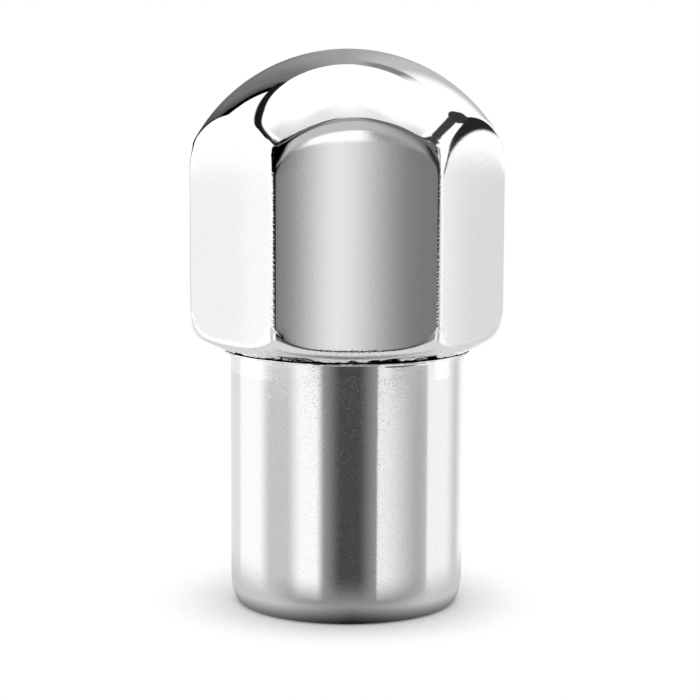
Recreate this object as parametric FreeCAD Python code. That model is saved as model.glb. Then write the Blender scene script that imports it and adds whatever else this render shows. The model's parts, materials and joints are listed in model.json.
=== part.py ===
import FreeCAD, Part
import math
import os

# Closed-end capped lug nut with a long plain shank.
# A turned steel body carries the thread. A thin bright cap is drawn over its hexagon
# and rolled in underneath, so the two never come apart. Sizes are in millimetres.
# The origin is the centre of the shank's end face, and +Z runs along the axis to the dome.

# Hexagon and dome, measured over the cap
ACROSS_FLATS = 20.64
CORNER_ROUND = 0.55
OVERALL_HEIGHT = 41.5
DOME_RISE = 7.6
RIM_ROUND = 0.5

# Underside of the hexagon: a shallow cone that sweeps up into the corners
UNDERSIDE_SLOPE = 17.0
CORNER_SWEEP = 1.8

# Sheet that the cap is drawn from, and how far its rolled lip comes in from the flats
SHEET = 0.45
LIP_WIDTH = 0.92

# Shank, with a long sweep and a small chamfer at its end
SHANK_DIAMETER = 17.5
SHANK_LENGTH = 19.05
END_SWEEP_HEIGHT = 2.0
END_SWEEP_RADIUS = 4.4
END_CHAMFER = 0.35

# Collar at the shank's top, wider than the shank's wall by this much
COLLAR_WIDTH = 0.85
COLLAR_HEIGHT = 0.22
COLLAR_CHAMFER = 0.1

# Thread, held as the bore at its crests
THREAD_DIAMETER = 12.0
THREAD_PITCH = 1.5
ENTRY_MARGIN = 0.35
TOP_CHAMFER = 0.6

# Clearances
CAP_FIT = 0.02
SEAM_GAP = 0.18
NECK_GAP = 0.4
DOME_SPACE = 5.2

# Sizes that follow from those
SHANK_RADIUS = SHANK_DIAMETER / 2
COLLAR_RADIUS = SHANK_RADIUS + COLLAR_WIDTH
COLLAR_TOP = SHANK_LENGTH + COLLAR_HEIGHT
LIP_RADIUS = ACROSS_FLATS / 2 - LIP_WIDTH
NECK_RADIUS = LIP_RADIUS - NECK_GAP
LIP_HEIGHT = COLLAR_TOP + SEAM_GAP
BORE_RADIUS = (THREAD_DIAMETER - 1.0825 * THREAD_PITCH) / 2
ENTRY_RADIUS = THREAD_DIAMETER / 2 + ENTRY_MARGIN
CORE_TOP = OVERALL_HEIGHT - SHEET - DOME_SPACE

SLOPE = math.radians(UNDERSIDE_SLOPE)
SHARP_CORNER = ACROSS_FLATS / math.sqrt(3)
ROUNDED_CORNER = SHARP_CORNER - CORNER_ROUND * (1 / math.cos(math.pi / 6) - 1)
DOME_RADIUS = (ROUNDED_CORNER ** 2 + DOME_RISE ** 2) / (2 * DOME_RISE)
DOME_CENTRE = OVERALL_HEIGHT - DOME_RADIUS

# How far a cutting tool runs past the face that it cuts
OVERRUN = 1.0
AXIS = FreeCAD.Vector(0, 0, 1)
BASE = FreeCAD.Vector(0, 0, 0)
FORWARD = FreeCAD.Vector(0, -1, 0)


def place(radius, height):
    """A point of a turned profile, in the half plane through the middle of the rear flat."""
    return FreeCAD.Vector(0, radius, height)


def on_circle(centre_radius, centre_height, radius, angle):
    """The point of a profile's circle at an angle from the outward direction, towards +Z."""
    return place(centre_radius + radius * math.cos(angle), centre_height + radius * math.sin(angle))


def line(start, end):
    return Part.LineSegment(start, end).toShape()


def arc(centre_radius, centre_height, radius, start_angle, end_angle):
    angles = (start_angle, (start_angle + end_angle) / 2, end_angle)
    return Part.Arc(*[on_circle(centre_radius, centre_height, radius, a) for a in angles]).toShape()


def turned(edges):
    """The solid made by turning a closed profile about the axis."""
    return Part.Face(Part.Wire(edges)).revolve(BASE, AXIS, 360)


def turned_polygon(points):
    """The solid made by turning a profile of straight lines about the axis."""
    corners = [place(radius, height) for radius, height in points]
    return Part.Face(Part.makePolygon(corners + corners[:1])).revolve(BASE, AXIS, 360)


def hexagon(inset):
    """Hexagonal prism with two flats square to Y and rounded long edges, drawn in by inset."""
    bottom = SHANK_LENGTH
    height = OVERALL_HEIGHT + OVERRUN - bottom
    reach = (ACROSS_FLATS - 2 * inset) / math.sqrt(3)
    turns = [math.radians(60 * k) for k in range(7)]
    outline = [FreeCAD.Vector(reach * math.cos(a), reach * math.sin(a), bottom) for a in turns]
    prism = Part.Face(Part.makePolygon(outline)).extrude(AXIS * height)
    corner_round = CORNER_ROUND - inset
    if corner_round < 0.05:
        return prism
    uprights = [edge for edge in prism.Edges if edge.BoundBox.ZLength > height / 2]
    return prism.makeFillet(corner_round, uprights)


def underside(inset, mouth_radius, swept):
    """The turned form that shapes the hexagon's underside, drawn in by inset.

    From the mouth a cone rises outwards, and an arc sweeps it up into the corners.
    Inside the sheet, where it doesn't show, a steeper cone takes the arc's place.
    """
    sweep_radius = SHARP_CORNER - CORNER_SWEEP
    cone_reach = sweep_radius + CORNER_SWEEP * math.sin(SLOPE)
    sweep_height = (
        LIP_HEIGHT + (cone_reach - LIP_RADIUS) * math.tan(SLOPE) + CORNER_SWEEP * math.cos(SLOPE)
    )
    cone_end = on_circle(sweep_radius, sweep_height, CORNER_SWEEP - inset, SLOPE - math.pi / 2)
    mouth = place(mouth_radius, cone_end.z - (cone_end.y - mouth_radius) * math.tan(SLOPE))
    side = place(SHARP_CORNER - inset, sweep_height)
    if swept:
        sweep = arc(sweep_radius, sweep_height, CORNER_SWEEP - inset, SLOPE - math.pi / 2, 0)
    else:
        sweep = line(cone_end, side)
    top = OVERALL_HEIGHT + 2 * OVERRUN
    return turned([
        line(place(0, mouth.z), mouth),
        line(mouth, cone_end),
        sweep,
        line(side, place(side.y, top)),
        line(place(side.y, top), place(0, top)),
        line(place(0, top), place(0, mouth.z)),
    ])


def above_dome(inset):
    """All that lies over the dome, drawn in by inset: a block that a ball is taken out of.

    The ball's poles lie to the front and the rear, clear of the block that it hollows.
    """
    top = OVERALL_HEIGHT + 2 * OVERRUN
    block = Part.makeCylinder(2 * SHARP_CORNER, top - DOME_CENTRE, place(0, DOME_CENTRE))
    return block.cut(Part.makeSphere(DOME_RADIUS - inset, place(0, DOME_CENTRE), FORWARD))


def head_form(inset, mouth_radius, swept):
    """The domed hexagon, drawn in by inset on every side."""
    return hexagon(inset).common(underside(inset, mouth_radius, swept)).cut(above_dome(inset))


def rim_edges(form):
    """The edges around the dome, which is the form's only ball-shaped face."""
    domes = [face for face in form.Faces if isinstance(face.Surface, Part.Sphere)]
    return domes[0].Edges


def make_cap():
    """Drawn cap: domed hexagon with soft rims, hollowed and open at its rolled lip."""
    form = head_form(0, LIP_RADIUS, True)
    form = form.makeFillet(min(RIM_ROUND, 0.95 * CORNER_ROUND), rim_edges(form))
    hollow = head_form(SHEET, LIP_RADIUS, False)
    mouth = Part.makeCylinder(LIP_RADIUS, 3 * SHEET, place(0, LIP_HEIGHT - SHEET))
    return form.cut(hollow).cut(mouth)


def make_turned_part():
    """Shank, collar and neck in one turning that ends inside the hexagonal core."""
    sweep_centre = SHANK_RADIUS - END_SWEEP_RADIUS
    sweep_start = -math.asin((END_SWEEP_HEIGHT - END_CHAMFER) / END_SWEEP_RADIUS)
    chamfer_top = on_circle(sweep_centre, END_SWEEP_HEIGHT, END_SWEEP_RADIUS, sweep_start)
    chamfer_foot = place(chamfer_top.y - END_CHAMFER, 0)
    wall_start = place(SHANK_RADIUS, END_SWEEP_HEIGHT)
    wall_end = place(SHANK_RADIUS, SHANK_LENGTH)
    seat_edge = place(COLLAR_RADIUS - COLLAR_CHAMFER, SHANK_LENGTH)
    collar_side = place(COLLAR_RADIUS, SHANK_LENGTH + COLLAR_CHAMFER)
    neck_top = LIP_HEIGHT + 3 * SHEET
    return turned([
        line(place(0, 0), chamfer_foot),
        line(chamfer_foot, chamfer_top),
        arc(sweep_centre, END_SWEEP_HEIGHT, END_SWEEP_RADIUS, sweep_start, 0),
        line(wall_start, wall_end),
        line(wall_end, seat_edge),
        line(seat_edge, collar_side),
        line(collar_side, place(COLLAR_RADIUS, COLLAR_TOP)),
        line(place(COLLAR_RADIUS, COLLAR_TOP), place(NECK_RADIUS, COLLAR_TOP)),
        line(place(NECK_RADIUS, COLLAR_TOP), place(NECK_RADIUS, neck_top)),
        line(place(NECK_RADIUS, neck_top), place(0, neck_top)),
        line(place(0, neck_top), place(0, 0)),
    ])


def make_bore():
    """Space of the threaded hole: open at the shank's end, chamfered at both ends."""
    entry = ENTRY_RADIUS - BORE_RADIUS
    return turned_polygon([
        (0, -OVERRUN),
        (ENTRY_RADIUS + OVERRUN, -OVERRUN),
        (BORE_RADIUS, entry),
        (BORE_RADIUS, CORE_TOP - TOP_CHAMFER),
        (BORE_RADIUS + TOP_CHAMFER + OVERRUN, CORE_TOP + OVERRUN),
        (0, CORE_TOP + OVERRUN),
    ])


def make_nut_body():
    """Steel body: the turned part and the hexagonal core that the cap grips, bored through."""
    below_dome = Part.makeCylinder(ACROSS_FLATS, CORE_TOP)
    core = head_form(SHEET + CAP_FIT, NECK_RADIUS, False).common(below_dome)
    return make_turned_part().fuse(core).cut(make_bore()).removeSplitter()


os.makedirs("parts", exist_ok=True)
make_cap().exportStep("parts/cap.step")
make_nut_body().exportStep("parts/nut_body.step")
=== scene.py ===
import json
import math

import bpy
import numpy as np
from mathutils import Matrix, Vector


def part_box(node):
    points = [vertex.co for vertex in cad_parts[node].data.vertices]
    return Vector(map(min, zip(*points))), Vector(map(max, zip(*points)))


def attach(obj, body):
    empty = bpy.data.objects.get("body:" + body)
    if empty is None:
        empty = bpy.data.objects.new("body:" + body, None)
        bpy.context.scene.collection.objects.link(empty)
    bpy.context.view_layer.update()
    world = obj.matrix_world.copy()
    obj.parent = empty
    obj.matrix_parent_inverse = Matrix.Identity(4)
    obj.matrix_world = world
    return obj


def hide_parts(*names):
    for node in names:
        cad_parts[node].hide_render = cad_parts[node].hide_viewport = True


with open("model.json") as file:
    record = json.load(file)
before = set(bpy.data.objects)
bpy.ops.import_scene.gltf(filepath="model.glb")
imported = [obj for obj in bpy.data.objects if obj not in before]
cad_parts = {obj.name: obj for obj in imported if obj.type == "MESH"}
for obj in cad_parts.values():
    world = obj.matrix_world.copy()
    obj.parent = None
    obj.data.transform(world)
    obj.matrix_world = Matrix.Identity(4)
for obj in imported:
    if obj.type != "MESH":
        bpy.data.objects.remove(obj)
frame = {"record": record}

# Capped lug nut with a long plain shank, in metres. The thin bright cap and the satin steel body
# are worked out as surfaces over a turn about the axis and a distance along their profile.
MM = 0.001
DEGREE = math.pi / 180
FULL_TURN = 2 * math.pi
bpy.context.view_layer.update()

# Sizes that come from the frame
cap_low, cap_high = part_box("cap")
mounts = {mount["name"]: mount for mount in frame["record"]["mounts"]}
FLAT_REACH = cap_high[1]
CORNER_REACH = cap_high[0]
TOP = cap_high[2]
LIP_HEIGHT = cap_low[2]
SHANK_RADIUS = mounts["shank"]["dims"]["r_mm"] * MM
SHANK_LENGTH = mounts["seat"]["pos_m"][2]
CREST_RADIUS = mounts["thread"]["dims"]["r_mm"] * MM

# Cap: its rim is rounded less towards the hexagon's corners, and its lower edge less inside the sheet
DOME_RISE = 7.6 * MM
SHEET = 0.45 * MM
RIM_ROUND = 0.45 * MM
RIM_ROUND_LOSS = 0.15 * MM
UNDERSIDE_SLOPE = 17 * DEGREE
UNDERSIDE_ROUND = 0.75 * MM
INNER_ROUND_LOSS = 0.6
LEAST_ROUND = 0.05 * MM
CORNER_SWEEP = 1.8 * MM
LIP_WIDTH = 0.92 * MM
LIP_RADIUS = FLAT_REACH - LIP_WIDTH
HEXAGON_SIDES = 6
SECTOR = FULL_TURN / HEXAGON_SIDES
HALF_SECTOR = SECTOR / 2
SHARP_CORNER = FLAT_REACH / math.cos(HALF_SECTOR)
CORNER_ROUND = (SHARP_CORNER - CORNER_REACH) / (1 / math.cos(HALF_SECTOR) - 1)
DOME_RADIUS = (CORNER_REACH ** 2 + DOME_RISE ** 2) / (2 * DOME_RISE)
DOME_CENTRE = TOP - DOME_RADIUS
CAP_MIDDLE = (LIP_HEIGHT + TOP) / 2
SWEEP_RADIUS = SHARP_CORNER - CORNER_SWEEP
CONE_REACH = SWEEP_RADIUS + CORNER_SWEEP * math.sin(UNDERSIDE_SLOPE)
SWEEP_HEIGHT = (
    LIP_HEIGHT
    + (CONE_REACH - LIP_RADIUS) * math.tan(UNDERSIDE_SLOPE)
    + CORNER_SWEEP * math.cos(UNDERSIDE_SLOPE)
)

# The sheet leans in a little where the flats run up into the dome, and no further than the limit, which
# is a share of the lean's length
LEAN_LENGTH = 3.0 * MM
LEAN_LIMIT = 1.2
LEAN_POWER = 4.7
LEAN_DEPTH = 0.056 * MM

# The sheet is drawn in more at each flat's two upper corners
CORNER_LEAN_DEPTH = 0.2 * MM
CORNER_LEAN_WIDTH = 1.3 * MM
CORNER_LEAN_ROUND = 0.35 * MM
CORNER_LEAN_LENGTH = 1.6 * MM
CORNER_LEAN_LIMIT = 1.1

# Each flat stands out a little along its middle
CROWN_DEPTH = 0.07 * MM

# Rolled edge: how far it hangs below its even height, over what width, and how far it bulges inwards.
# Waves round the nut are given as a count, a phase and a size.
LIP_DROOP = 0.14 * MM
LIP_LIFT = 0.02 * MM
LIP_FADE = 0.8 * MM
LIP_FADE_POWER = 1.5
LIP_BULGE = 0.12 * MM
RIPPLE_BULGE = 2.5
DROOP_GAIN = 1.4
DROOP_BIAS = 0.5
DROOP_WAVES = ((7, 0.4, 0.8), (11, 2.1, 0.9), (19, 4.0, 0.6), (37, 1.3, 0.35), (71, 5.2, 0.2))
RIPPLE_WAVES = ((83, 0.3, 0.012 * MM), (131, 1.9, 0.010 * MM), (47, 3.1, 0.016 * MM))

# Steps of the cap's surfaces: along a flat and round a corner, then down from the pole to the rim, round
# the rim, down the side, round the lower edge and in to the lip
FLAT_STEPS = 40
CORNER_STEPS = 20
OUTER_STEPS = (44, 22, 30, 18, 12)
INNER_STEPS = (10, 6, 6, 4, 3)
LIP_EDGE_ROWS = 5

# Rays from the cap's middle are cut in half this many times, from a length that is clear of its form
HALVINGS = 46
RAY_LENGTH = 1.6 * CORNER_REACH

# How far, in radians of slant, the close rows reach past the rim and the lower edge
RIM_BAND = 0.09
LOW_BAND_ABOVE = 0.055
LOW_BAND_BELOW = 0.044

# Body: the collar's edge is uneven, and comes in by up to its loss
COLLAR_RADIUS = 9.3 * MM
COLLAR_HEIGHT = 0.13 * MM
COLLAR_LIFT = 0.02 * MM
COLLAR_LOW = SHANK_LENGTH + COLLAR_LIFT
COLLAR_EDGE = 0.04 * MM
COLLAR_LOSS = 0.15 * MM
COLLAR_WAVES = ((3, 2.6, 0.25), (8, 0.9, 0.2), (23, 4.4, 0.15), (61, 1.1, 0.1))
NECK_GAP = 0.4 * MM
NECK_RADIUS = LIP_RADIUS - NECK_GAP
DOME_SPACE = 5.2 * MM
CORE_TOP = TOP - SHEET - DOME_SPACE
CORE_GAP = 0.05 * MM
CORE_INSET = SHEET + CORE_GAP
END_SWEEP_WIDTH = 0.8 * MM
END_SWEEP_HEIGHT = 2.0 * MM
BODY_COLUMNS = 360
END_SWEEP_ROWS = 18
WALL_ROWS = 23
COLLAR_EDGE_ROWS = 5

# Rows on the end face lie this far outside the bore's entry and inside the swept end
ENTRY_BAND = 0.5 * MM
END_BAND = 0.3 * MM

# Rows this far from an edge, or a few times as far, keep the edge crisp
HAIR = 0.01 * MM

# Groove under the collar, on a part of the turn: each row's distance from its middle, in hairs, and
# its share of the groove's depth
GROOVE_HEIGHT = SHANK_LENGTH - 12 * HAIR
GROOVE_DEPTH = 0.02 * MM
GROOVE_ROWS = ((-12, 0), (-8, 0), (-4, 0.2), (0, 1), (4, 0.2), (8, 0))
GROOVE_WAVES = ((1, 1.25, 1.0), (5, 0.6, 0.4))

# Thread and bore
ENTRY_RADIUS = 6.35 * MM
TOP_CHAMFER = 0.6 * MM
ROOT_RADIUS = 6.0 * MM
THREAD_PITCH = 1.5 * MM
THREAD_CREST = 0.25
FLANK_SLOPE = 30 * DEGREE
ROWS_PER_PITCH = 12

# Camera, as fitted to the photograph's outline
CAMERA_DISTANCE = 155.5 * MM
CAMERA_HEIGHT = 39.25 * MM
CAMERA_AZIMUTH = -3.4 * DEGREE
CAMERA_YAW = -3.478 * DEGREE
CAMERA_PITCH = 7.409 * DEGREE
CAMERA_ROLL = 0.255 * DEGREE
CAMERA_LENS = 107.1
CAMERA_SENSOR = 36.0
CAMERA_NEAREST = 5 * MM
CAMERA_FARTHEST = 10.0

# Softbox overhead, and the light that comes from all round
OVERHEAD_HEIGHT = 450 * MM
OVERHEAD_EDGE = 49 * DEGREE
OVERHEAD_BRIGHTNESS = 1.2
OVERHEAD_SPOT = Vector((0, 0, 480 * MM))
AMBIENT = 0.54


def round_max(first, second, cosine, radius):
    """The larger of two distances, with a true round of that radius where the two surfaces meet.

    The cosine is that of the angle between the surfaces' normals. Near the edge the distance is
    measured from the line that lies the radius inside both surfaces.
    """
    near_first = first + radius
    near_second = second + radius
    beside_both = (near_first > cosine * near_second) & (near_second > cosine * near_first)
    squared = near_first ** 2 + near_second ** 2 - 2 * cosine * near_first * near_second
    rounded = np.sqrt(np.maximum(squared, 0) / (1 - cosine ** 2))
    return np.where(beside_both, rounded, np.maximum(near_first, near_second)) - radius


def waves(turns, parts):
    """A sum of a few sine waves round the nut; each part is a count, a phase and a size."""
    return sum(size * np.sin(count * turns + phase) for count, phase, size in parts)


def around(radius, turns, height):
    """Points at a radius from the axis, a turn about it and a height; each row follows the one before."""
    return np.stack([radius * np.cos(turns), radius * np.sin(turns), height], axis=-1).reshape(-1, 3)


def grid_faces(rows, columns, close_rows=False):
    """Quads of a grid whose columns close on themselves, and whose rows may too."""
    row = np.arange(rows if close_rows else rows - 1)[:, None] * columns
    above = (row + columns) % (rows * columns)
    column = np.arange(columns)[None, :]
    beside = (column + 1) % columns
    corners = (row + column, row + beside, above + beside, above + column)
    return np.stack(np.broadcast_arrays(*corners), axis=-1).reshape(-1, 4)


def pole_faces(rows, columns):
    """Triangles that close both ends of a grid, each round a point; the two points follow the grid's."""
    first = np.arange(columns)
    beside = (first + 1) % columns
    last = (rows - 1) * columns
    pole = np.full(columns, rows * columns)
    first_end = np.stack([first, beside, pole], axis=-1)
    last_end = np.stack([last + beside, last + first, pole + 1], axis=-1)
    return np.concatenate([first_end, last_end])


def add_mesh(name, points, quads, triangles=()):
    """A smooth mesh object from an array of points and arrays of quads and triangles."""
    mesh = bpy.data.meshes.new(name)
    faces = [np.asarray(f, dtype=np.int32) for f in (quads, triangles) if len(f)]
    sizes = np.concatenate([np.full(len(f), f.shape[1], dtype=np.int32) for f in faces])
    starts = np.concatenate([[0], np.cumsum(sizes)[:-1]]).astype(np.int32)
    loops = np.concatenate([f.ravel() for f in faces])
    mesh.vertices.add(len(points))
    mesh.vertices.foreach_set("co", np.asarray(points, dtype=np.float32).ravel())
    mesh.loops.add(len(loops))
    mesh.loops.foreach_set("vertex_index", loops)
    mesh.polygons.add(len(sizes))
    mesh.polygons.foreach_set("loop_start", starts)
    mesh.polygons.foreach_set("use_smooth", np.ones(len(sizes), dtype=bool))
    mesh.update(calc_edges=True)
    mesh.validate()
    obj = bpy.data.objects.new(name, mesh)
    bpy.context.scene.collection.objects.link(obj)
    return obj


def hexagon_turns():
    """Turns about the axis that are close together round the hexagon's corners.

    Each flat is stepped evenly along its length and each corner round evenly in its own angle.
    """
    centre = (FLAT_REACH - CORNER_ROUND) / math.cos(HALF_SECTOR)
    flat_half = centre * math.sin(HALF_SECTOR)
    flat = np.linspace(-flat_half, flat_half, FLAT_STEPS, endpoint=False)
    flat_turns = np.arctan2(flat, FLAT_REACH)
    normal = np.linspace(0, SECTOR, CORNER_STEPS, endpoint=False) - HALF_SECTOR
    corner_turns = HALF_SECTOR + np.arctan2(
        CORNER_ROUND * np.sin(normal), centre + CORNER_ROUND * np.cos(normal)
    )
    sector = np.concatenate([flat_turns, corner_turns])
    return np.concatenate([sector + SECTOR * k for k in range(HEXAGON_SIDES)])


def fold(turns):
    """How far each turn is from the middle of the nearest flat."""
    return np.abs((turns + HALF_SECTOR) % SECTOR - HALF_SECTOR)


def hexagon_reach(turns, inset=0.0):
    """How far the rounded hexagon reaches at each turn, and the cosine between that ray and its normal.

    The nearest flat's middle is turned to zero. Past the flat's end the ray meets the corner's circle.
    The flats face the front, the rear and 60 degrees to each side of those.
    """
    folded = fold(turns)
    round_radius = max(CORNER_ROUND - inset, 2 * HAIR)
    centre = (FLAT_REACH - inset - round_radius) / math.cos(HALF_SECTOR)
    end_turn = math.atan2(centre * math.sin(HALF_SECTOR), FLAT_REACH - inset)
    off_corner = HALF_SECTOR - folded
    across = centre * np.sin(off_corner)
    corner_reach = centre * np.cos(off_corner) + np.sqrt(np.maximum(round_radius ** 2 - across ** 2, 0))
    flat_reach = (FLAT_REACH - inset) / np.cos(folded)
    on_flat = folded <= end_turn
    reach = np.where(on_flat, flat_reach, corner_reach)
    slant = np.where(on_flat, np.cos(folded), np.sqrt(np.maximum(1 - (across / round_radius) ** 2, 0)))
    return reach, slant


def drawn_in(folded, below_rim):
    """How far the sheet lies inside the plain hexagon, by a fold and a depth below the rim.

    It is a sum of three parts: a lean that grows as a power towards the rim, a crown that grows as
    the square of the way from a flat's middle, and the square of a pull at the flat's upper corners.
    """
    lean = LEAN_DEPTH * np.clip(1 - below_rim / LEAN_LENGTH, 0, LEAN_LIMIT) ** LEAN_POWER
    crown = CROWN_DEPTH * np.minimum(np.tan(folded) / math.tan(HALF_SECTOR), 1) ** 2
    from_corner = np.hypot(FLAT_REACH * (math.tan(HALF_SECTOR) - np.tan(folded)), CORNER_LEAN_ROUND)
    corner_share = np.clip(1 - from_corner / CORNER_LEAN_WIDTH, 0, 1)
    rim_share = np.clip(1 - below_rim / CORNER_LEAN_LENGTH, 0, CORNER_LEAN_LIMIT)
    return lean + crown + CORNER_LEAN_DEPTH * (corner_share * rim_share) ** 2


def underside_distance(radius, height, inset):
    """Distance outside the underside: a cone, and past its end the arc that sweeps up into the corners."""
    cone = (
        (LIP_HEIGHT - height) * math.cos(UNDERSIDE_SLOPE)
        + (radius - LIP_RADIUS) * math.sin(UNDERSIDE_SLOPE)
        + inset
    )
    outwards = radius - SWEEP_RADIUS
    drop = np.minimum(height - SWEEP_HEIGHT, 0)
    sweep = np.hypot(outwards, drop) - (CORNER_SWEEP - inset) - np.maximum(height - SWEEP_HEIGHT, 0)
    past_cone = outwards * math.cos(UNDERSIDE_SLOPE) + drop * math.sin(UNDERSIDE_SLOPE)
    return np.where((past_cone > 0) & (outwards > 0), sweep, cone)


def cap_distance(radius, height, turns, inset):
    """Distance outside the cap's domed hexagon, drawn in by inset; negative inside.

    It is the largest of three distances, each pair rounded where they meet: to the hexagon's side
    with its leans and crown, to the dome's ball, and to the underside.
    """
    reach, slant = hexagon_reach(turns, inset)
    folded = fold(turns)
    below_rim = DOME_CENTRE + np.sqrt((DOME_RADIUS - inset) ** 2 - reach ** 2) - height
    side = (radius - reach + drawn_in(folded, below_rim)) * slant
    dome = np.hypot(radius, np.maximum(height - DOME_CENTRE, 0)) - (DOME_RADIUS - inset)
    underside = underside_distance(radius, height, inset)
    rim_round = RIM_ROUND - RIM_ROUND_LOSS * np.minimum(folded / HALF_SECTOR, 1) ** 2 - inset
    lower_round = max(UNDERSIDE_ROUND - INNER_ROUND_LOSS * inset, LEAST_ROUND)
    rim_cosine = np.minimum(radius, reach) / DOME_RADIUS * slant
    head = round_max(side, dome, rim_cosine, np.maximum(rim_round, LEAST_ROUND))
    return round_max(head, underside, math.sin(UNDERSIDE_SLOPE), lower_round)


def cap_surface(turns, slants, inset):
    """Points where rays from a point on the axis meet the cap's form, found by halving.

    Each ray is given by a turn about the axis and a slant above the level.
    """
    near = np.zeros_like(slants)
    far = np.full_like(slants, RAY_LENGTH)
    for _ in range(HALVINGS):
        middle = (near + far) / 2
        height = CAP_MIDDLE + middle * np.sin(slants)
        outside = cap_distance(middle * np.cos(slants), height, turns, inset) > 0
        far = np.where(outside, middle, far)
        near = np.where(outside, near, middle)
    return near * np.cos(slants), CAP_MIDDLE + near * np.sin(slants)


def cap_rows(turns, inset, counts):
    """Slants of the rays in every row and column, close together at the rim and the lower edge.

    The rim's slant follows each column's arch, and the lower edge's follows the swept corners.
    """
    reach, _ = hexagon_reach(turns, inset)
    rim_height = DOME_CENTRE + np.sqrt((DOME_RADIUS - inset) ** 2 - reach ** 2)
    rim = np.arctan2(rim_height - CAP_MIDDLE, reach)
    outwards = np.maximum(reach, CONE_REACH) - SWEEP_RADIUS
    swept_height = SWEEP_HEIGHT - np.sqrt(np.maximum(CORNER_SWEEP ** 2 - outwards ** 2, 0))
    cone_height = LIP_HEIGHT + (reach - LIP_RADIUS) * math.tan(UNDERSIDE_SLOPE)
    low_height = np.where(reach > CONE_REACH, swept_height, cone_height)
    low = np.arctan2(low_height + inset - CAP_MIDDLE, reach)
    lip = np.full_like(rim, math.atan2(LIP_HEIGHT + inset - CAP_MIDDLE, LIP_RADIUS))
    pole = np.full_like(rim, math.pi / 2)
    keys = (pole, rim + RIM_BAND, rim - RIM_BAND, low + LOW_BAND_ABOVE, low - LOW_BAND_BELOW, lip)
    rows = []
    for start, end, count in zip(keys[:-1], keys[1:], counts):
        share = np.linspace(0, 1, count, endpoint=False)[:, None]
        rows.append(start + (end - start) * share)
    rows.append(lip[None, :])
    return np.concatenate(rows)[1:]


def make_cap():
    """The drawn cap: outer skin, rolled lip and hollow, as one closed surface.

    The rolled lip hangs down by low stretches and open slots, and its edge bulges with the ripple.
    """
    across = hexagon_turns()
    turns = across - math.pi / 2
    outer = cap_rows(across, 0.0, OUTER_STEPS)
    inner = cap_rows(across, SHEET, INNER_STEPS)
    outer_radius, outer_height = cap_surface(np.broadcast_to(across, outer.shape), outer, 0.0)
    inner_radius, inner_height = cap_surface(np.broadcast_to(across, inner.shape), inner, SHEET)
    swing = np.tanh(DROOP_GAIN * waves(turns, DROOP_WAVES) + DROOP_BIAS)
    droop = LIP_DROOP * (1 + swing) / 2
    ripple = waves(turns, RIPPLE_WAVES)
    lip_share = np.clip((LIP_RADIUS + LIP_FADE - outer_radius) / LIP_FADE, 0, 1) ** LIP_FADE_POWER
    drop = np.where(outer_height < CAP_MIDDLE, lip_share * (droop + ripple - LIP_LIFT), 0)
    outer_height = outer_height - drop
    edge_angles = np.linspace(0, math.pi, LIP_EDGE_ROWS + 2)[1:-1, None]
    middle = (outer_height[-1] + inner_height[-1]) / 2
    half = (inner_height[-1] - outer_height[-1]) / 2
    edge_radius = LIP_RADIUS - (LIP_BULGE + RIPPLE_BULGE * ripple) * np.sin(edge_angles)
    edge_height = middle - half * np.cos(edge_angles)
    radius = np.concatenate([outer_radius, edge_radius, inner_radius[::-1]])
    height = np.concatenate([outer_height, edge_height, inner_height[::-1]])
    points = np.concatenate([around(radius, turns, height), [[0, 0, TOP], [0, 0, TOP - SHEET]]])
    quads = grid_faces(*radius.shape)[:, ::-1]
    return add_mesh("polished_cap", points, quads, pole_faces(*radius.shape))


def shank_profile():
    """Radius and height in each row of the swept end, the shank, the groove, the collar and the neck."""
    sweep = np.linspace(0, math.pi / 2, END_SWEEP_ROWS)
    sweep_radius = SHANK_RADIUS - END_SWEEP_WIDTH * (1 - np.sin(sweep))
    sweep_height = END_SWEEP_HEIGHT * (1 - np.cos(sweep))
    wall = np.linspace(END_SWEEP_HEIGHT, GROOVE_HEIGHT - 16 * HAIR, WALL_ROWS + 1)[1:]
    off, share = np.array(GROOVE_ROWS).T
    collar_top = COLLAR_LOW + COLLAR_HEIGHT
    edge = np.linspace(0, math.pi / 2, COLLAR_EDGE_ROWS)
    edge_radius = COLLAR_RADIUS - COLLAR_EDGE * (1 - np.cos(edge))
    edge_height = collar_top - COLLAR_EDGE * (1 - np.sin(edge))
    return np.array([
        *zip(sweep_radius, sweep_height),
        *((SHANK_RADIUS, height) for height in wall),
        *zip(SHANK_RADIUS - share * GROOVE_DEPTH, GROOVE_HEIGHT + off * HAIR),
        (SHANK_RADIUS + 4 * HAIR, COLLAR_LOW - HAIR),
        (SHANK_RADIUS + 12 * HAIR, COLLAR_LOW),
        (COLLAR_RADIUS - 3 * HAIR, COLLAR_LOW),
        (COLLAR_RADIUS - HAIR, COLLAR_LOW),
        (COLLAR_RADIUS, COLLAR_LOW + HAIR),
        (COLLAR_RADIUS, COLLAR_LOW + 3 * HAIR),
        (COLLAR_RADIUS, collar_top - COLLAR_EDGE - 2 * HAIR),
        *zip(edge_radius, edge_height),
        (NECK_RADIUS + 10 * HAIR, collar_top),
        (NECK_RADIUS, collar_top + 8 * HAIR),
    ])


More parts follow.
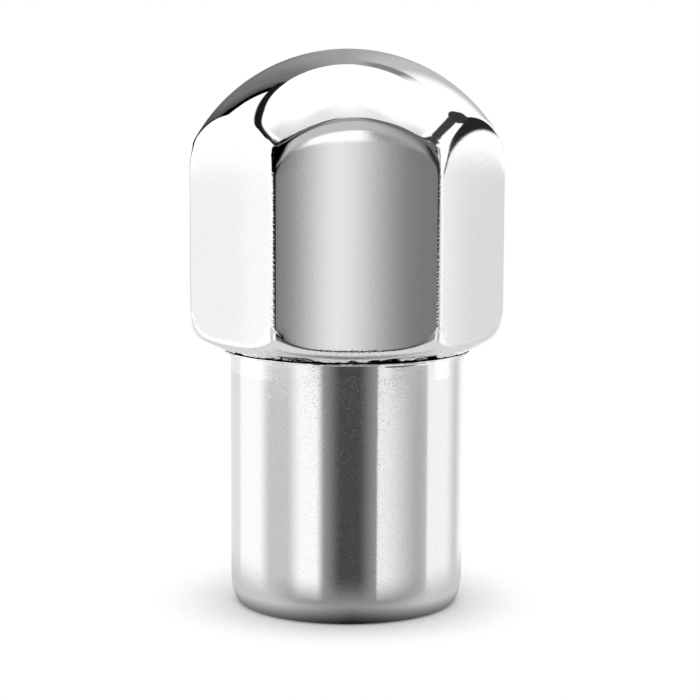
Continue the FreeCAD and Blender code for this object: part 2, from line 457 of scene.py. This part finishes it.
def core_rows(turns):
    """Radii and heights of the neck's top, the hexagonal core that the cap grips, and the bore's mouth."""
    flat = np.ones(len(turns))
    reach, _ = hexagon_reach(turns + math.pi / 2, CORE_INSET)
    ball = DOME_RADIUS - CORE_INSET
    shoulder = np.minimum(DOME_CENTRE + np.sqrt(ball ** 2 - reach ** 2), CORE_TOP)
    top_radius = np.minimum(reach, math.sqrt(ball ** 2 - (CORE_TOP - DOME_CENTRE) ** 2))
    neck_top = LIP_HEIGHT + SHEET + 10 * HAIR
    radii = (NECK_RADIUS * flat, reach, reach, top_radius, (CREST_RADIUS + TOP_CHAMFER) * flat)
    heights = (neck_top * flat, SWEEP_HEIGHT * flat, shoulder, CORE_TOP * flat, CORE_TOP * flat)
    return np.stack(radii), np.stack(heights)


def thread_radius(turns, heights):
    """Radius of the bore's wall: a right-hand helix with flat crests, 60 degree flanks and flat roots."""
    depth = ROOT_RADIUS - CREST_RADIUS
    flank = depth * math.tan(FLANK_SLOPE) / THREAD_PITCH
    place = (heights / THREAD_PITCH - turns / FULL_TURN) % 1.0
    rise = np.clip((place - THREAD_CREST) / flank, 0, 1)
    fall = np.clip((1 - place) / flank, 0, 1)
    return CREST_RADIUS + depth * np.minimum(rise, fall)


def make_body():
    """The steel body: shank, collar, neck, hidden core and threaded bore, as one closed surface.

    The groove's depth and the collar's edge vary round the turn. The bore is the widest of the
    thread and the two chamfers at its ends.
    """
    turns = np.linspace(0, FULL_TURN, BODY_COLUMNS, endpoint=False)
    flat = np.ones(BODY_COLUMNS)
    outer = shank_profile()[:, :, None] * flat
    outer_radius = outer[:, 0]
    outer_height = outer[:, 1]
    on_collar = np.clip((outer_radius - SHANK_RADIUS) / (COLLAR_RADIUS - SHANK_RADIUS), 0, 1)
    uneven = np.clip(0.5 + waves(turns, COLLAR_WAVES), 0, 1)
    grooved = np.clip(waves(turns, GROOVE_WAVES), 0, 1)
    in_groove = (outer_radius < SHANK_RADIUS) & (outer_height > GROOVE_HEIGHT - 5 * HAIR)
    groove_radius = SHANK_RADIUS + (outer_radius - SHANK_RADIUS) * grooved
    outer_radius = np.where(in_groove, groove_radius, outer_radius) - on_collar * COLLAR_LOSS * uneven

    core_radius, core_height = core_rows(turns)

    steps = round(CORE_TOP / THREAD_PITCH * ROWS_PER_PITCH)
    bore = np.linspace(CORE_TOP, 0, steps + 1)[1:-1, None]
    chamfers = np.maximum(ENTRY_RADIUS - bore, CREST_RADIUS + TOP_CHAMFER - (CORE_TOP - bore))
    bore_radius = np.maximum(thread_radius(turns, bore), chamfers)

    end_radius = np.array([
        [ENTRY_RADIUS],
        [ENTRY_RADIUS + ENTRY_BAND],
        [SHANK_RADIUS - END_SWEEP_WIDTH - END_BAND],
    ]) * flat
    radius = np.concatenate([outer_radius, core_radius, bore_radius, end_radius])
    height = np.concatenate([outer_height, core_height, bore * flat, 0 * end_radius])
    faces = grid_faces(*radius.shape, close_rows=True)
    return add_mesh("steel_body", around(radius, turns, height), faces)


class Signal:
    """A socket in a node tree. Arithmetic on it adds Math nodes."""

    def __init__(self, tree, socket):
        self.tree = tree
        self.socket = socket

    def math(self, operation, other=0.0):
        return self.tree.add("Math", {"operation": operation}, {0: self, 1: other})

    def __add__(self, other):
        return self.math("ADD", other)

    def __mul__(self, other):
        return self.math("MULTIPLY", other)

    def __sub__(self, other):
        return self.math("SUBTRACT", other)

    def __truediv__(self, other):
        return self.math("DIVIDE", other)

    def __rsub__(self, other):
        return self.tree.add("Math", {"operation": "SUBTRACT"}, {0: other, 1: self})

    __radd__ = __add__
    __rmul__ = __mul__

    def step(self, start, end):
        """0 up to start, 1 from end on, with a smooth rise between."""
        settings = {"interpolation_type": "SMOOTHSTEP"}
        return self.tree.add("MapRange", settings, {"Value": self, "From Min": start, "From Max": end})

    def passes(self, place, softness):
        """0 before a place and 1 past it, with a smooth rise that is as wide as the softness."""
        return self.step(place - softness / 2, place + softness / 2)


class Tree:
    """The nodes of one material or world."""

    def __init__(self, owner):
        owner.use_nodes = True
        self.owner = owner
        self.nodes = owner.node_tree.nodes
        self.links = owner.node_tree.links
        self.nodes.clear()

    def add(self, kind, settings=None, sockets=None, output=0):
        """A node: its settings are set first, then the values or links of its sockets."""
        node = self.nodes.new("ShaderNode" + kind)
        for name, value in (settings or {}).items():
            setattr(node, name, value)
        for name, value in (sockets or {}).items():
            if isinstance(value, Signal):
                self.links.new(value.socket, node.inputs[name])
            else:
                node.inputs[name].default_value = value
        return Signal(self, node.outputs[output])

    def place(self):
        """Object coordinates, and their three parts."""
        coordinates = self.add("TexCoord", output="Object")
        parts = [self.add("SeparateXYZ", sockets={0: coordinates}, output=k) for k in range(3)]
        return coordinates, parts

    def length(self, vector):
        return self.add("VectorMath", {"operation": "LENGTH"}, {0: vector}, output="Value")

    def scaled(self, colour, level):
        """A colour made brighter or darker by a level."""
        return self.add("VectorMath", {"operation": "SCALE"}, {0: colour, "Scale": level})

    def noise(self, coordinates, scale, detail):
        return self.add("TexNoise", sockets={"Vector": coordinates, "Scale": scale, "Detail": detail})

    def bump(self, height, strength, distance, under=None):
        """A normal that a height bends, on top of the bump under it if there is one."""
        sockets = {"Height": height, "Strength": strength, "Distance": distance}
        if under:
            sockets["Normal"] = under
        return self.add("Bump", sockets=sockets, output="Normal")

    def metal(self, colour, roughness, normal):
        sockets = {"Base Color": colour, "Metallic": 1.0, "Roughness": roughness, "Normal": normal}
        return self.add("BsdfPrincipled", sockets=sockets)

    def glow(self, level):
        """Light whose brightness is carried by its colour."""
        return self.add("Emission", sockets={"Color": self.scaled((1, 1, 1), level)})

    def surface(self, shader, kind="Material"):
        output = self.nodes.new("ShaderNodeOutput" + kind)
        self.links.new(shader.socket, output.inputs["Surface"])
        return self.owner


# Fine speckle: the part of the noise's range that it spans, and its scale
SPECK_NOISE = (0.3, 0.7)
SPECKLE_SCALE = 9000.0


def speckled(tree, coordinates, scale, tint, depth):
    """A metal's colour with a fine speckle; depth is how much its specks differ in brightness."""
    specks = tree.noise(coordinates, scale, 1.0)
    return tree.scaled(tint, 1 + depth * (specks.step(*SPECK_NOISE) - 0.5))


# Where the chrome changes: heights for the sides below the rim, for the rolled edge and its scuffs, the
# distance from the front flat's middle to what lies beside it, and the reach of the scuffed corners
SIDE_HEIGHTS = (36.2 * MM, 34.0 * MM)
ROLLED_HEIGHTS = (20.5 * MM, 20.1 * MM)
SCUFFED_HEIGHTS = (20.6 * MM, 20.2 * MM)
BESIDE_FRONT = (5.6 * MM, 5.9 * MM)
SCUFFED_REACH = (11.68 * MM, 11.78 * MM)
CHROME_TINT = (0.93, 0.93, 0.935)
MOTTLE_SCALE = 2600.0
SCUFF_SCALE = 5200.0

# How deep the chrome's speckle is, and what is added beside the front flat and on the rolled edge
CHROME_SPECKLE = 0.035
BESIDE_SPECKLE = 0.06
ROLLED_SPECKLE = 0.2

# Its roughness, what the sides and their mottle add, and how strongly mottle and scuffs bend its normal
CHROME_ROUGHNESS = 0.03
SIDE_ROUGHNESS = 0.03
MOTTLE_ROUGHNESS = 0.04
MOTTLE_BUMP = 0.06
SIDE_SCUFF = 0.02
CORNER_SCUFF = 0.5
EDGE_SCUFF = 0.35
MOTTLE_DEPTH = 0.02 * MM
SCUFF_DEPTH = 0.03 * MM


def polished_chrome():
    """Bright plating: mirror-like, with a faint mottle on the sides and scuffed corners and edge."""
    tree = Tree(bpy.data.materials.new("polished_chrome"))
    coordinates, (x, y, z) = tree.place()
    mottle = tree.noise(coordinates, MOTTLE_SCALE, 3.0)
    scuffs = tree.noise(coordinates, SCUFF_SCALE, 2.0)
    on_side = z.step(*SIDE_HEIGHTS)
    beside = x.math("ABSOLUTE").step(*BESIDE_FRONT)
    depth = CHROME_SPECKLE + BESIDE_SPECKLE * beside + ROLLED_SPECKLE * z.step(*ROLLED_HEIGHTS)
    colour = speckled(tree, coordinates, SPECKLE_SCALE, CHROME_TINT, depth)
    roughness = CHROME_ROUGHNESS + on_side * (SIDE_ROUGHNESS + mottle * MOTTLE_ROUGHNESS)
    reach = (x * x + y * y).math("SQRT")
    at_corner = reach.step(*SCUFFED_REACH)
    at_edge = z.step(*SCUFFED_HEIGHTS)
    scuffed = SIDE_SCUFF + CORNER_SCUFF * at_corner + EDGE_SCUFF * at_edge
    normal = tree.bump(mottle, MOTTLE_BUMP * on_side, MOTTLE_DEPTH)
    normal = tree.bump(scuffs, on_side * scuffed, SCUFF_DEPTH, normal)
    return tree.surface(tree.metal(colour, roughness, normal))


# Where the steel changes: the height of the smooth land under the collar, and the height and the two
# stretches of the painted highlights in front, a brighter tint that stands in for bright reflections
LAND_HEIGHTS = (18.2 * MM, 18.3 * MM)
PAINTED_HIGHLIGHT_HEIGHTS = (17.6 * MM, 17.65 * MM)
PAINTED_HIGHLIGHT_LEFT = (-5.7 * MM, -5.9 * MM)
PAINTED_HIGHLIGHT_RIGHT_START = (5.9 * MM, 6.1 * MM)
PAINTED_HIGHLIGHT_RIGHT_END = (7.3 * MM, 7.1 * MM)
STEEL_TINT = (0.86, 0.86, 0.865)
PAINTED_HIGHLIGHT_TINT = (0.97, 0.97, 0.975)
GRAIN_SCALE = 8000.0
CLOUD_SCALE = 420.0
PIT_SCALE = 9500.0
PIT_NOISE = (0.58, 0.66)
PAINTED_HIGHLIGHT_SPECKLE_SCALE = 2000.0

# How deep the speckles are, the steel's roughness with what cloud and pits add, and its grain's strength
STEEL_SPECKLE = 0.09
PAINTED_HIGHLIGHT_SPECKLE = 0.04
STEEL_ROUGHNESS = 0.05
CLOUD_ROUGHNESS = 0.03
PIT_ROUGHNESS = 0.12
GRAIN_BUMP = 0.05
GRAIN_DEPTH = 0.02 * MM


def satin_steel():
    """Turned steel with a fine satin grain, smoother just under the collar, where painted highlights in
    front brighten its tint.
    """
    tree = Tree(bpy.data.materials.new("satin_steel"))
    coordinates, (x, _, z) = tree.place()
    grain = tree.noise(coordinates, GRAIN_SCALE, 2.0)
    cloud = tree.noise(coordinates, CLOUD_SCALE, 3.0)
    pits = tree.noise(coordinates, PIT_SCALE, 1.0).step(*PIT_NOISE)
    land = z.step(*LAND_HEIGHTS)
    # Painted highlights: two stretches in front get a brighter tint that stands in for bright reflections
    painted_highlight = x.step(*PAINTED_HIGHLIGHT_LEFT) + x.step(*PAINTED_HIGHLIGHT_RIGHT_START) * x.step(*PAINTED_HIGHLIGHT_RIGHT_END)
    painted_highlight = painted_highlight * z.step(*PAINTED_HIGHLIGHT_HEIGHTS)
    plain = speckled(tree, coordinates, SPECKLE_SCALE, STEEL_TINT, STEEL_SPECKLE)
    bright = speckled(tree, coordinates, PAINTED_HIGHLIGHT_SPECKLE_SCALE, PAINTED_HIGHLIGHT_TINT, PAINTED_HIGHLIGHT_SPECKLE)
    colour = tree.add("Mix", {"data_type": "RGBA"}, {0: painted_highlight, 6: plain, 7: bright}, output=2)
    satin = STEEL_ROUGHNESS + cloud * CLOUD_ROUGHNESS + pits * PIT_ROUGHNESS
    roughness = satin * (1 - land) + STEEL_ROUGHNESS * land
    normal = tree.bump(grain, GRAIN_BUMP, GRAIN_DEPTH)
    return tree.surface(tree.metal(colour, roughness, normal))


# How a panel's edges run: straight, with its left edge turned, or with its top and bottom bowed
PLAIN = 0
TURNED = 1
BOWED = 2

# Panels of the studio that the metal reflects, each painted over the ones before it: azimuths and
# elevations in degrees, brightness, how soft its sides and its top and bottom are, how much its top
# and bottom rise for each degree of azimuth past its left side, and how its edges run. A bowed
# panel rises with the square of that azimuth. Azimuth 0 is towards the camera and 90 is to the right.
PANELS = (
    ("overhead_front", (-75, 68), (10, 84), 0.84, 30, 24, 0, PLAIN),
    ("overhead_edge", (-92, 82), (0, 60), 0.74, 24, 18, 0, PLAIN),
    ("wall_rear", (-190, -140), (-90, 50.3), 0.36, 1, 1, 0, PLAIN),
    ("wall_rear_left", (132, 190), (-90, 50.3), 0.36, 1, 1, 0, PLAIN),
    ("wall_rear_dark", (-170, -140), (-90, 50.5), 0.18, 24, 1, 0, TURNED),
    ("wall_rear_edge", (-152, -140), (-90, 50.5), 0.07, 10, 1, 0, TURNED),
    ("wall_rear_far", (133, 172), (-90, 50.5), 0.55, 14, 2, 0, PLAIN),
    ("wall_rear_right", (127, 155), (-90, 50.5), 1.10, 12, 1, 0, PLAIN),
    ("wall_rear_spot", (149, 171), (43.5, 51), 0.24, 12, 3, 0, PLAIN),
    ("sides", (-143.5, 134), (-90, 51), 1.10, 1, 1, 0, TURNED),
    ("line_left", (-148, -143.5), (-10, 49), 0.0, 1, 1, 0, TURNED),
    ("gap_left", (-151, -118), (46.0, 50.7), 0.01, 1, 1, 0, PLAIN),
    ("gap_left_middle", (-119, -103), (47.0, 50.7), 0.01, 1, 1, -0.1, PLAIN),
    ("gap_left_front", (-119, -66), (45.8, 49.2), 0.01, 1, 1, 0, PLAIN),
    ("gap_left_corner", (-72, -61), (38, 49.5), 0.0, 1, 1, 0.5, PLAIN),
    ("gap_right_foot", (60, 85), (37.1, 40.6), 0.05, 1, 0.6, 0.3, PLAIN),
    ("gap_right_near", (60, 84.5), (45.5, 50.9), 0.05, 1, 0.6, -0.12, PLAIN),
    ("gap_right", (83.5, 119.5), (44.2, 48.0), 0.05, 1, 0.6, -0.0047, BOWED),
    ("gap_right_end", (118.5, 134.5), (18, 42.3), 0.04, 1, 0.6, -0.041, BOWED),
    ("card_right", (119, 136), (-0.3, 24), 0.02, 3, 0.6, 0.2, PLAIN),
    ("wall_front", (-40, 30), (-8, 70), 0.35, 8, 3, 0, PLAIN),
    ("wall_front_near", (-26, -11), (-4, 46), 0.13, 8, 6, 0, PLAIN),
    ("wall_front_low", (-9, 7), (3, 22), 0.55, 8, 6, 0, PLAIN),
    ("wall_front_left", (-66, -22), (0, 55), 0.01, 12, 2, 0.45, PLAIN),
    ("wall_front_far", (-54, -20), (4, 60.5), 0.15, 14, 2, 0.45, PLAIN),
    ("wall_front_right", (11, 68), (5, 67), 0.15, 10, 4, -0.42, PLAIN),
    ("card_front_right", (20, 62), (2.5, 14), 0.03, 6, 1, 0, PLAIN),
    ("card_front_right_low", (13, 42), (-6.3, 3), 0.03, 6, 1, 0, PLAIN),
    ("card_front_left", (-66, -15), (3, 34), 0.0, 4, 1, 0, PLAIN),
    ("card_front_left_low", (-50, -15), (-6.3, 3.5), 0.02, 8, 1, 0, PLAIN),
    ("front_level", (-16, 22), (-10, 3.4), 0.33, 6, 1, 0, PLAIN),
    ("front_level_middle", (-1.2, 4.6), (-3, 0), 0.80, 1.6, 1.4, 0, PLAIN),
    ("light_front", (-1.2, 4.6), (-0.4, 3.9), 1.10, 1.6, 1.0, 0, PLAIN),
    ("card_right_edge", (120.2, 122.3), (-3.2, 0.6), 0.0, 0.8, 0.6, 0, PLAIN),
    ("level_left", (-190, -100), (-90, -1.15), 0.94, 24, 0.4, 0, PLAIN),
    ("level_left_edge", (-118.1, -90), (-90, -1.15), 1.02, 1, 0.4, 0, PLAIN),
    ("level_left_rear", (-190, -128), (-90, -1.15), 0.66, 10, 1.2, 0, PLAIN),
    ("level_right", (60, 150), (-90, -0.9), 0.745, 20, 1, 0, PLAIN),
    ("level_right_edge", (80, 124), (-90, -0.9), 1.0, 5, 1, 0, PLAIN),
    ("low_left", (-190, -27), (-90, -6.9), 1.12, 3, 0.4, 0, PLAIN),
    ("low_left_rear", (-190, -134), (-90, -6.9), 0.83, 10, 0.4, 0, PLAIN),
    ("low_left_side", (-92, -56), (-90, -6.9), 0.63, 18, 0.4, 0, PLAIN),
    ("low_right", (26.5, 190), (-90, -6.9), 0.98, 1.2, 0.4, 0, PLAIN),
    ("low_right_side", (52, 90), (-90, -6.9), 0.44, 48, 0.4, 0, PLAIN),
    ("low_right_bright", (82.5, 190), (-90, -6.9), 1.03, 4, 0.4, 0, PLAIN),
    ("low_right_rear", (122, 142), (-90, -6.9), 0.66, 24, 0.4, 0, PLAIN),
    ("front_low", (-29, 20), (-90, -5.2), 0.32, 10, 0.4, 0, PLAIN),
    ("front_low_right", (0, 26.5), (-90, -5.2), 0.31, 1.2, 0.4, 0, PLAIN),
    ("front_dark", (-18, 17), (-90, -5.2), 0.07, 20, 0.4, 0, PLAIN),
    ("floor", (-190, 190), (-90, -22), 0.72, 1, 5, 0, PLAIN),
)
SURROUNDING_BRIGHTNESS = 1.25

# Turned edges run round for each degree that they go below these elevations, at these rates
TURNED_BENDS = ((30, 0.45), (19, 0.8))
STUDIO_RADIUS = 1.5
STUDIO_COLUMNS = 96
STUDIO_ROWS = 45
STUDIO_LAST_ROW = 88 * DEGREE

# Upright card in front of the middle flat
STRIP_DISTANCE = -30.3 * MM
STRIP_HALF_WIDTH = 13 * MM
STRIP_HEIGHTS = (16.3 * MM, 34.75 * MM)

# Where its peak rises and falls and its dark left end stops, and its brightness beside the peak and in it
STRIP_RISE = (-7.2 * MM, -0.4 * MM)
STRIP_FALL = (-0.6 * MM, 8.3 * MM)
STRIP_DARK_END = (-7.8 * MM, -7.2 * MM)
STRIP_LEVEL = 0.20
STRIP_PEAK = 0.64
STRIP_PEAK_POWER = 1.6

# Floor: rings of its mesh, where it fades out for the camera and in reflections, the clear part under the
# foot, and where the painted shade that the metal reflects of it brightens outwards and from the front to
# the rear
FLOOR_RINGS = np.array([0.01, 20, 60, 110, 200]) * MM
FLOOR_COLUMNS = 64
FLOOR_FADE = (8.5 * MM, 15 * MM)
MIRRORED_FADE = (12 * MM, 24 * MM)
CLEAR_FOOT = (7.5 * MM, 7.3 * MM)
SHADE_REACH = (7.8 * MM, 12.5 * MM)
SHADE_DEPTH = (-13 * MM, -6 * MM)
SHADE_FRONT = 0.3
SHADE_REAR_GAIN = 0.34
SHADE_SIDE_SHIFT = 0.18
FLOOR_COLOUR = (0.98, 0.98, 0.98, 1)


def studio_panels(tree):
    """Brightness by direction: every panel is a soft-edged oblong in azimuth and elevation."""
    coordinates, (x, y, z) = tree.place()
    azimuth = x.math("ARCTAN2", 0 - y) / DEGREE
    elevation = (z / tree.length(coordinates)).math("ARCSINE") / DEGREE
    turned = azimuth
    for bend, rate in TURNED_BENDS:
        turned = turned + (bend - elevation).math("MAXIMUM", 0.0) * rate
    brightness = SURROUNDING_BRIGHTNESS
    for _, (left, right), (low, high), level, soft_sides, soft_ends, rise, edges in PANELS:
        start = turned if edges == TURNED else azimuth
        height = elevation
        if rise:
            along = azimuth - left
            height = elevation - (along * along if edges == BOWED else along) * rise
        mask = start.passes(left, soft_sides) * (1 - azimuth.passes(right, soft_sides))
        mask = mask * height.passes(low, soft_ends) * (1 - height.passes(high, soft_ends))
        brightness = brightness + mask * (level - brightness)
    return brightness


def strip_gradient(tree):
    """Brightness across the strip: a soft peak near its middle, and dark at its left end."""
    _, (x, _, _) = tree.place()
    peak = (x.step(*STRIP_RISE) * (1 - x.step(*STRIP_FALL))).math("POWER", STRIP_PEAK_POWER)
    return x.step(*STRIP_DARK_END) * (STRIP_LEVEL + STRIP_PEAK * peak)


def light_up(card, name, paint):
    """Lets a card glow as painted, in the metal's reflections and nowhere else."""
    material = bpy.data.materials.new(name)
    tree = Tree(material)
    card.data.materials.append(tree.surface(tree.glow(paint(tree))))
    material.cycles.emission_sampling = "NONE"
    card.visible_camera = False
    card.visible_diffuse = False
    card.visible_shadow = False


def make_studio():
    """A ball all round the nut, painted with the studio's panels."""
    across = np.linspace(-math.pi, math.pi, STUDIO_COLUMNS + 1)[:-1] - math.pi / 2
    up = np.linspace(-STUDIO_LAST_ROW, STUDIO_LAST_ROW, STUDIO_ROWS)[:, None]
    ball = around(np.cos(up), across, np.sin(up) + 0 * across)
    points = np.concatenate([ball, [[0, 0, -1], [0, 0, 1]]]) * STUDIO_RADIUS
    quads = grid_faces(STUDIO_ROWS, STUDIO_COLUMNS)[:, ::-1]
    studio = add_mesh("studio", points, quads, pole_faces(STUDIO_ROWS, STUDIO_COLUMNS))
    light_up(studio, "studio_panels", studio_panels)


def make_strip():
    """An upright card close to the front, for the flat that faces it."""
    low, high = STRIP_HEIGHTS
    points = np.array([
        (-STRIP_HALF_WIDTH, STRIP_DISTANCE, low),
        (STRIP_HALF_WIDTH, STRIP_DISTANCE, low),
        (STRIP_HALF_WIDTH, STRIP_DISTANCE, high),
        (-STRIP_HALF_WIDTH, STRIP_DISTANCE, high),
    ])
    light_up(add_mesh("strip_card", points, np.array([[0, 1, 2, 3]])), "strip_light", strip_gradient)


def make_floor():
    """A white disc that fades out into the white surroundings.

    The metal sees the nut's shade painted on it as a glow, which gives way sooner at the sides.
    """
    turns = np.linspace(0, FULL_TURN, FLOOR_COLUMNS, endpoint=False)
    radius = FLOOR_RINGS[:, None]
    quads = grid_faces(len(FLOOR_RINGS), FLOOR_COLUMNS)[:, ::-1]
    floor = add_mesh("floor", around(radius, turns, 0 * (radius + turns)), quads)
    tree = Tree(bpy.data.materials.new("white_floor"))
    coordinates, (x, y, _) = tree.place()
    away = tree.length(coordinates)
    mirrored = tree.add("LightPath", output="Is Glossy Ray")
    mirrored_fade = away.step(*MIRRORED_FADE) + away.step(*CLEAR_FOOT)
    fade = away.step(*FLOOR_FADE) * (1 - mirrored) + mirrored * mirrored_fade
    fade = fade.math("MAXIMUM", tree.add("NewGeometry", output="Backfacing"))
    # Painted shade: in reflections the floor is a glow that darkens towards the foot and the front
    reach = away + SHADE_SIDE_SHIFT * x.math("ABSOLUTE")
    shade = (SHADE_FRONT + SHADE_REAR_GAIN * y.step(*SHADE_DEPTH)) * reach.step(*SHADE_REACH)
    white = tree.add("BsdfDiffuse", sockets={"Color": FLOOR_COLOUR})
    near = tree.add("MixShader", sockets={0: mirrored, 1: white, 2: tree.glow(shade)})
    shader = tree.add("MixShader", sockets={0: fade, 1: near, 2: tree.add("BsdfTransparent")})
    floor.data.materials.append(tree.surface(shader))


def make_world():
    """White all round for the camera and in reflections, and softer as light on matt surfaces."""
    world = bpy.data.worlds.new("surroundings")
    bpy.context.scene.world = world
    tree = Tree(world)
    direct = tree.add("LightPath", output="Is Camera Ray")
    for kind in ("Is Glossy Ray", "Is Transmission Ray"):
        direct = direct.math("MAXIMUM", tree.add("LightPath", output=kind))
    level = AMBIENT + direct * (1 - AMBIENT)
    shader = tree.add("Background", sockets={"Color": tree.scaled((1, 1, 1), level)})
    tree.surface(shader, "World")


def make_lights():
    """One round softbox overhead, as wide as the dome's reflections show it."""
    radius = OVERHEAD_HEIGHT / math.tan(OVERHEAD_EDGE)
    lamp = bpy.data.lights.new("overhead", "AREA")
    lamp.shape = "DISK"
    lamp.size = 2 * radius
    lamp.energy = OVERHEAD_BRIGHTNESS * math.pi * math.pi * radius ** 2
    obj = bpy.data.objects.new("overhead", lamp)
    obj.location = OVERHEAD_SPOT
    obj.visible_glossy = False
    bpy.context.scene.collection.objects.link(obj)


def make_camera():
    """The camera that the photograph was taken with."""
    camera = bpy.data.cameras.new("camera")
    camera.lens = CAMERA_LENS
    camera.sensor_width = CAMERA_SENSOR
    camera.clip_start = CAMERA_NEAREST
    camera.clip_end = CAMERA_FARTHEST
    obj = bpy.data.objects.new("camera", camera)
    ahead = Vector((
        -math.sin(CAMERA_YAW) * math.cos(CAMERA_PITCH),
        math.cos(CAMERA_YAW) * math.cos(CAMERA_PITCH),
        -math.sin(CAMERA_PITCH),
    ))
    level = Vector((math.cos(CAMERA_YAW), math.sin(CAMERA_YAW), 0))
    upward = level.cross(ahead)
    right = level * math.cos(CAMERA_ROLL) + upward * math.sin(CAMERA_ROLL)
    up = upward * math.cos(CAMERA_ROLL) - level * math.sin(CAMERA_ROLL)
    turn = Matrix((right, up, -ahead)).transposed().to_4x4()
    spot = Vector((
        CAMERA_DISTANCE * math.sin(CAMERA_AZIMUTH),
        -CAMERA_DISTANCE * math.cos(CAMERA_AZIMUTH),
        CAMERA_HEIGHT,
    ))
    obj.matrix_world = Matrix.Translation(spot) @ turn
    bpy.context.scene.collection.objects.link(obj)
    bpy.context.scene.camera = obj


def dress(obj, node, material):
    """Gives a piece its material and puts it in its node's place."""
    obj.data.materials.append(material)
    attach(obj, "root")
    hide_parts(node)


bpy.context.scene.view_settings.view_transform = "Standard"
dress(make_cap(), "cap", polished_chrome())
dress(make_body(), "nut_body", satin_steel())
make_floor()
make_world()
make_lights()
make_studio()
make_strip()
make_camera()
